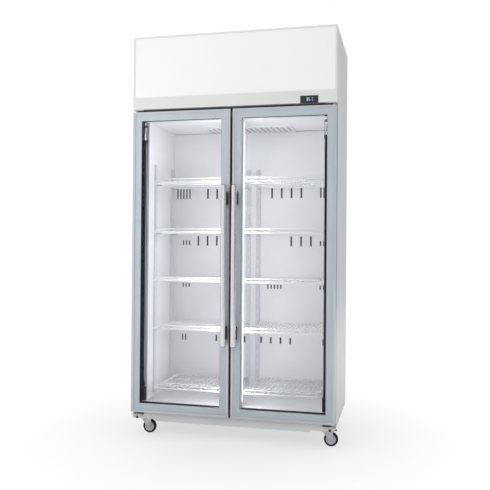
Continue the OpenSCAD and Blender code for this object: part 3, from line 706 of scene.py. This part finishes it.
def controller_face():
    """Glossy lens with rounded corners, its lit digits and its small indicator marks."""
    low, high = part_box("controller")
    lens = bmesh.new()
    rim = 2 * MM
    outline = rounded_rectangle(low.x + rim, high.x - rim, low.z + rim, high.z - rim, 3 * MM)
    faces = low.y - 0.3 * MM, low.y + 0.4 * MM
    prism(lens, [[lens.verts.new((x, y, z)) for x, z in outline] for y in faces])
    piece("controller_lens", lens, LENS, "cabinet", bevel=0.0004)

    lit = bmesh.new()
    face_y = low.y - 0.5 * MM
    middle = (low.z + high.z) / 2
    digit_h, digit_w, digit_pitch, first_x = 17 * MM, 8.5 * MM, 11.5 * MM, low.x + 31 * MM
    foot = middle - digit_h / 2
    for n, digit in enumerate("35"):
        seven_segment(lit, digit, first_x + digit_pitch * n, foot, digit_w, digit_h, face_y)
    dot_x = low.x + 41 * MM
    block(lit, (dot_x, face_y, foot), (dot_x + 1.3 * MM, face_y + DISPLAY_DEPTH, foot + 1.5 * MM))
    marks_x, mark_pitch, mark_r, mark_line = low.x + 64 * MM, 6.5 * MM, 2.2 * MM, 0.35 * MM
    for place in (1, 0, -1):
        centre = Vector((marks_x, face_y, middle + place * mark_pitch))
        for k in range(3):
            arm = Matrix.Rotation(math.radians(60 * k), 3, "Y") @ Vector((mark_r, 0, 0))
            tube(lit, [centre - arm, centre + arm], mark_line, 6)
    piece("controller_digits", lit, DIGITS, "cabinet")


# ------------------------------------------------------------------ castors


def castor_wheel(castor):
    """Rubber-tyred wheel: a crowned tyre, and a pale hub with a rim, a web, a boss and five ribs."""
    low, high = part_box(castor + "_wheel")
    centre = (low + high) / 2
    radius = (high.z - low.z) / 2
    half = (high.y - low.y) / 2 - 1 * MM
    body = castor + "_castor_wheel"
    steps = 72
    tyre = bmesh.new()
    shoulder = [
        (radius - 11 * MM, half - 1.5 * MM), (radius - 7 * MM, half - 0.2 * MM),
        (radius - 3.2 * MM, half - 1 * MM), (radius - 0.9 * MM, half - 3.6 * MM), (radius, half * 0.35),
    ]
    outline = [(r, -y) for r, y in shoulder] + shoulder[::-1]
    hollow_lathe(tyre, outline, centre, (0, 1, 0), steps)
    piece(castor + "_tyre", tyre, RUBBER, body, [castor + "_wheel"], sharp=60)
    hub = bmesh.new()
    rim_y, web, boss_y, boss_r = half - 2 * MM, 3 * MM, half + 0.6 * MM, 9 * MM
    face = [
        (radius - 11.2 * MM, rim_y), (radius - 13.5 * MM, rim_y), (radius - 14.5 * MM, web),
        (boss_r + 1 * MM, web), (boss_r, boss_y), (4.2 * MM, boss_y),
    ]
    profile = [(face[0][0], -rim_y)] + face + [(r, -y) for r, y in face[:0:-1]]
    hollow_lathe(hub, profile, centre, (0, 1, 0), steps)
    ribs, rib_y, rib_half = 5, half - 3 * MM, 1.3 * MM
    for k in range(ribs):
        turn = Matrix.Rotation(math.radians(360 / ribs * k), 4, "Y")
        rib = bmesh.new()
        block(rib, (boss_r, -rib_y, -rib_half), (radius - 13.8 * MM, rib_y, rib_half))
        rib.transform(Matrix.Translation(centre) @ turn)
        add_mesh(hub, rib)
    piece(castor + "_hub", hub, HUB_PLASTIC, body, bevel=0.0003)


def add_mesh(target, source):
    """Copies one bmesh into another and frees it."""
    scratch = bpy.data.meshes.new("scratch")
    source.to_mesh(scratch)
    source.free()
    target.from_mesh(scratch)
    bpy.data.meshes.remove(scratch)


def brake_pedal(castor):
    """Moulded pedal with a turned-up toe and grip ribs, on its barrel."""
    low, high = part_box(castor + "_brake")
    mesh = bmesh.new()
    barrel_r, bore_r, thick = 4.6 * MM, 2.55 * MM, 2.8 * MM
    first_rib, rib_pitch, rib_w, rib_inset = 7 * MM, 4 * MM, 1.6 * MM, 2 * MM
    barrel_x = low.x + barrel_r
    top = high.z - 2 * MM
    block(mesh, (barrel_x, low.y, top - thick), (high.x - 4 * MM, high.y, top))
    block(mesh, (high.x - 6 * MM, low.y, top - thick), (high.x, high.y, high.z))
    for k in range(4):
        x = barrel_x + first_rib + rib_pitch * k
        start, end = low.y + rib_inset, high.y - rib_inset
        block(mesh, (x, start, top - 0.2 * MM), (x + rib_w, end, top + 0.9 * MM))
    profile = [(bore_r, low.y), (barrel_r, low.y), (barrel_r, high.y), (bore_r, high.y)]
    hollow_lathe(mesh, profile, (barrel_x, 0, low.z + barrel_r), (0, 1, 0), 32)
    body, replaced = castor + "_castor_brake", [castor + "_brake"]
    piece(castor + "_pedal", mesh, DARK_PLASTIC, body, replaced, bevel=0.0006)


# ------------------------------------------------------------------ cold air system and condensing unit


def duct_shade_lining():
    """Dark sheet behind the slots of the back panel: partly the duct's dark insulation, partly painted
    shade so the slots read as dim openings.
    """
    low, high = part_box("back_duct_panel")
    mesh = bmesh.new()
    gap, thick = 4 * MM, 1.5 * MM
    y = high.y + gap
    block(mesh, (low.x + gap, y, low.z + gap), (high.x - gap, y + thick, high.z - gap))
    # painted shade: a dark sheet where the duct behind the slots lies in shade
    piece("duct_shade_lining", mesh, DARK_PLASTIC, "cabinet", bevel=0.0003)


def return_air_filter():
    """Woven filter lying in the lowered grille of the ceiling, below the fans."""
    left_fan, right_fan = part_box("left_evaporator_fan")[0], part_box("right_evaporator_fan")[1]
    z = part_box("evaporator_cover")[0].z + 4.2 * MM
    low = (left_fan.x - 10 * MM, left_fan.y - 30 * MM, z)
    high = (right_fan.x + 10 * MM, right_fan.y, z + 0.8 * MM)
    mesh = bmesh.new()
    block(mesh, low, high)
    piece("return_air_filter", mesh, FILTER, "cabinet", bevel=0.0002)


def base_bolts():
    """Dark hex bolts with their washers at the lower corners of the apron."""
    low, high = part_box("base_tray")
    mesh = bmesh.new()
    head = [(6 * MM, 0), (6 * MM, 3.2 * MM), (5 * MM, 4 * MM)]
    washer = [(6.2 * MM, 0), (7.4 * MM, 0), (7.4 * MM, 0.8 * MM), (6.2 * MM, 0.8 * MM)]
    inset, height = 27 * MM, 15.5 * MM
    for x in (low.x + inset, high.x - inset):
        face = (x, low.y - 0.1 * MM, low.z + height)
        solid_lathe(mesh, head, face, (0, -1, 0), 6)
        hollow_lathe(mesh, washer, face, (0, -1, 0), 32)
    piece("base_bolts", mesh, DARK_STEEL, "cabinet", bevel=0.0002)


def fan_guard():
    """Wire guard over the condenser fan: rings on four spokes."""
    low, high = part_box("condenser_fan")
    shroud_front = low.y - 7 * MM
    centre = Vector(((low.x + high.x) / 2, shroud_front, (low.z + high.z) / 2))
    first_hoop_r, hoop_pitch, hoop_wire = 42 * MM, 14.5 * MM, 1.1 * MM
    spoke_start, spoke_end, spoke_wire = 36 * MM, 119 * MM, 1.4 * MM
    mesh = bmesh.new()
    hoops, spokes = 6, 4
    for k in range(hoops):
        hoop = circle_points(centre, first_hoop_r + hoop_pitch * k, (0, 1, 0), 64)
        tube(mesh, hoop, hoop_wire, 8, closed=True)
    base = centre - Vector((0, 1.6 * MM, 0))
    for k in range(spokes):
        out = Matrix.Rotation(math.radians(45 + 360 / spokes * k), 3, "Y") @ Vector((1, 0, 0))
        tube(mesh, [base + out * spoke_start, base + out * spoke_end], spoke_wire, 8)
    piece("condenser_fan_guard", mesh, DARK_STEEL, "cabinet")


def louvre_hoods():
    """Pressed hoods over the slots of the rear cover."""
    bank_lefts, bank_w = (-500, -165, 170), 322
    first_slot_z, last_slot_z, slot_pitch = 1930, 2166, 22
    mesh = bmesh.new()
    y0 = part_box("rear_grille")[1].y
    y1 = min(y0 + 3 * MM, cad_box[1].y - 0.2 * MM)
    for bank_x in bank_lefts:
        for z in range(first_slot_z, last_slot_z, slot_pitch):
            top, bottom = (z + 11) * MM, (z + 1) * MM
            hood = [(y0, top), (y1, bottom), (y1 - 1 * MM, bottom), (y0, top - 2 * MM)]
            ends = bank_x * MM - 2 * MM, (bank_x + bank_w) * MM + 2 * MM
            prism(mesh, [[mesh.verts.new((x, *p)) for p in hood] for x in ends])
    piece("rear_louvre_hoods", mesh, WHITE_STEEL, "cabinet", bevel=0.0003)


def compressor_details():
    """Weld seam and rubber feet of the compressor."""
    low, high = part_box("compressor")
    centre = Vector((low.x + 95 * MM, (low.y + high.y) / 2, low.z))
    seam_r, flange_r, seam_z = 71.6 * MM, 74.4 * MM, 92 * MM
    seam = bmesh.new()
    profile = [(seam_r, -3 * MM), (flange_r, -2 * MM), (flange_r, 2 * MM), (seam_r, 3 * MM)]
    hollow_lathe(seam, profile, centre + Vector((0, 0, seam_z)), (0, 0, 1), 72)
    piece("compressor_seam", seam, BLACK_ENAMEL, "cabinet")
    feet = bmesh.new()
    outline = ((4, 14), (10.5, 14), (11, 16), (8, 18), (10, 21), (5, 23))
    foot = [(radius * MM, height * MM) for radius, height in outline]
    foot_x, foot_y = 78 * MM, 52 * MM
    for x in (-foot_x, foot_x):
        for y in (-foot_y, foot_y):
            solid_lathe(feet, foot, centre + Vector((x, y, 0)), (0, 0, 1), 24)
    piece("compressor_mounts", feet, RUBBER, "cabinet")


# ------------------------------------------------------------------ camera, light and floor


def make_camera():
    """The camera: low, to the right of the middle, turned to the left and rolled by less than a degree."""
    place = (0.90829, -3.77266, 1.0629)
    yaw, pitch, roll = 0.233357, -0.009466, 0.0077222
    forward = Vector((-math.sin(yaw) * math.cos(pitch), math.cos(yaw) * math.cos(pitch), -math.sin(pitch)))
    right = Vector((math.cos(yaw), math.sin(yaw), 0))
    up = right.cross(forward)
    across = right * math.cos(roll) + up * math.sin(roll)
    upward = up * math.cos(roll) - right * math.sin(roll)
    data = bpy.data.cameras.new("camera")
    data.sensor_width = 36
    data.lens = 49.24
    data.shift_y = -0.01435
    camera = bpy.data.objects.new("camera", data)
    turn = Matrix((across, upward, -forward)).transposed().to_4x4()
    camera.matrix_world = Matrix.Translation(place) @ turn
    bpy.context.scene.collection.objects.link(camera)
    bpy.context.scene.camera = camera


def area_light(name, place, target, size, power, colour=(1, 1, 1), mirrored=True):
    """A rectangular soft light aimed at a point, which glossy surfaces mirror or not."""
    data = bpy.data.lights.new(name, "AREA")
    data.shape = "RECTANGLE"
    data.size, data.size_y = size
    data.energy = power
    data.color = colour
    light = bpy.data.objects.new(name, data)
    light.location = place
    light.rotation_mode = "QUATERNION"
    light.rotation_quaternion = (Vector(target) - Vector(place)).to_track_quat("-Z", "Y")
    light.visible_glossy = mirrored
    bpy.context.scene.collection.objects.link(light)
    return light


# The surroundings light the fridge most from the upper right, and mirror brightest on the left
LIT_SIDE = (0.88, 0.1, 0.46)
DIM, BRIGHT = 0.7, 0.9
MIRROR_LEFT, MIRROR_RIGHT = 1.1, 0.2


def surroundings():
    """White for the camera, and a soft shade from side to side for everything that is lit or mirrored."""
    world = bpy.data.worlds.new("studio")
    bpy.context.scene.world = world
    world.use_nodes = True
    tree = world.node_tree
    backdrop = tree.nodes["Background"]
    backdrop.inputs["Color"].default_value = (1, 1, 1, 1)
    path = tree.nodes.new("ShaderNodeLightPath")
    ray = tree.nodes.new("ShaderNodeTexCoord")
    lean = tree.nodes.new("ShaderNodeVectorMath")
    lean.operation = "DOT_PRODUCT"
    lean.inputs[1].default_value = LIT_SIDE
    tree.links.new(ray.outputs["Generated"], lean.inputs[0])
    across = tree.nodes.new("ShaderNodeSeparateXYZ")
    tree.links.new(ray.outputs["Generated"], across.inputs["Vector"])
    lit = remap(tree, lean.outputs["Value"], DIM, BRIGHT, 0.0, 0.9)
    mirrored = remap(tree, across.outputs["X"], MIRROR_LEFT, MIRROR_RIGHT, -0.5, 0.4)
    unseen = remap(tree, path.outputs["Is Glossy Ray"], lit, mirrored)
    strength = remap(tree, path.outputs["Is Camera Ray"], unseen, 1.0)
    tree.links.new(strength, backdrop.inputs["Strength"])


def cabinet_lamps():
    """The light bars' own light, and a faint fill on each ceiling."""
    low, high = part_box("led_strips")
    middle_z = (low.z + high.z) / 2
    size, cool_white = (0.012, high.z - low.z), (0.99, 0.985, 1.0)
    bay_x, fill_power = 0.27, 0.1
    for side, sign, power, depth in (("left", -1, 2.75, 0.16), ("right", 1, 2.3, 0.25)):
        start = (sign * (high.x + 0.002), low.y + 0.012, middle_z)
        target = (sign * 0.5, low.y + depth, middle_z)
        area_light(side + "_lamp", start, target, size, power, cool_white)
        start, target = (sign * bay_x, 0.02, 1.5), (sign * bay_x, 0.04, 1.7)
        fill = area_light(side + "_fill", start, target, (0.4, 0.3), fill_power, mirrored=False)
        fill.visible_camera = False


def studio():
    """White surroundings, a softbox, the cabinet's own lamps and a pale floor that fades out."""
    scene = bpy.context.scene
    scene.view_settings.view_transform = "Standard"
    surroundings()
    area_light("front_softbox", (-2.0, -2.6, 2.3), (0, 0, 1.1), (1.8, 1.8), 23, mirrored=False)
    cabinet_lamps()
    mesh = bmesh.new()
    bmesh.ops.create_circle(mesh, cap_ends=True, segments=96, radius=7.0)
    data = bpy.data.meshes.new("floor")
    mesh.to_mesh(data)
    mesh.free()
    floor = bpy.data.objects.new("floor", data)
    scene.collection.objects.link(floor)
    data.materials.append(floor_material())


def floor_material():
    """Pale floor that turns into the white surroundings; for bounced light it is painted darker near the
    fridge, a painted shadow where the fridge stands.
    """
    s = Surface("studio_floor", Specular_IOR_Level=0.2, Roughness=0.6)
    s.colour(s.spread(s.noise(1.5, 2), 0, 1), "EDEDED", "F1F1F1")
    glow = s.tree.nodes.new("ShaderNodeEmission")
    glow.inputs["Color"].default_value = (1, 1, 1, 1)
    # painted shadow: a grey floor for bounced light near the fridge, standing in for its contact shadow
    painted_shade_floor = s.tree.nodes.new("ShaderNodeBsdfDiffuse")
    painted_shade_floor.inputs["Color"].default_value = srgb("C6C6C6")
    distance = s.tree.nodes.new("ShaderNodeVectorMath")
    distance.operation = "LENGTH"
    s.link(s.place, distance.inputs[0])
    far, white = distance.outputs["Value"], glow.outputs["Emission"]
    seen = s.blend(s.spread(far, 0.58, 1, 0.5, 1.2), s.shader.outputs["BSDF"], white)
    thrown = s.blend(s.spread(far, 0.2, 1, 0.6, 1.9), painted_shade_floor.outputs["BSDF"], white)
    path = s.tree.nodes.new("ShaderNodeLightPath")
    s.show(s.blend(path.outputs["Is Camera Ray"], thrown, seen))
    return s.material


# ------------------------------------------------------------------ the whole object


make_camera()
dress_cad_nodes()
for side in SIDES:
    door_glazing(side)
    glazing_bead(side)
    door_gasket(side)
    handle_caps(side)
led_bars()
controller_face()
for castor in CASTORS:
    castor_wheel(castor)
    if castor.startswith("front"):
        brake_pedal(castor)
duct_shade_lining()
return_air_filter()
base_bolts()
fan_guard()
louvre_hoods()
compressor_details()
studio()
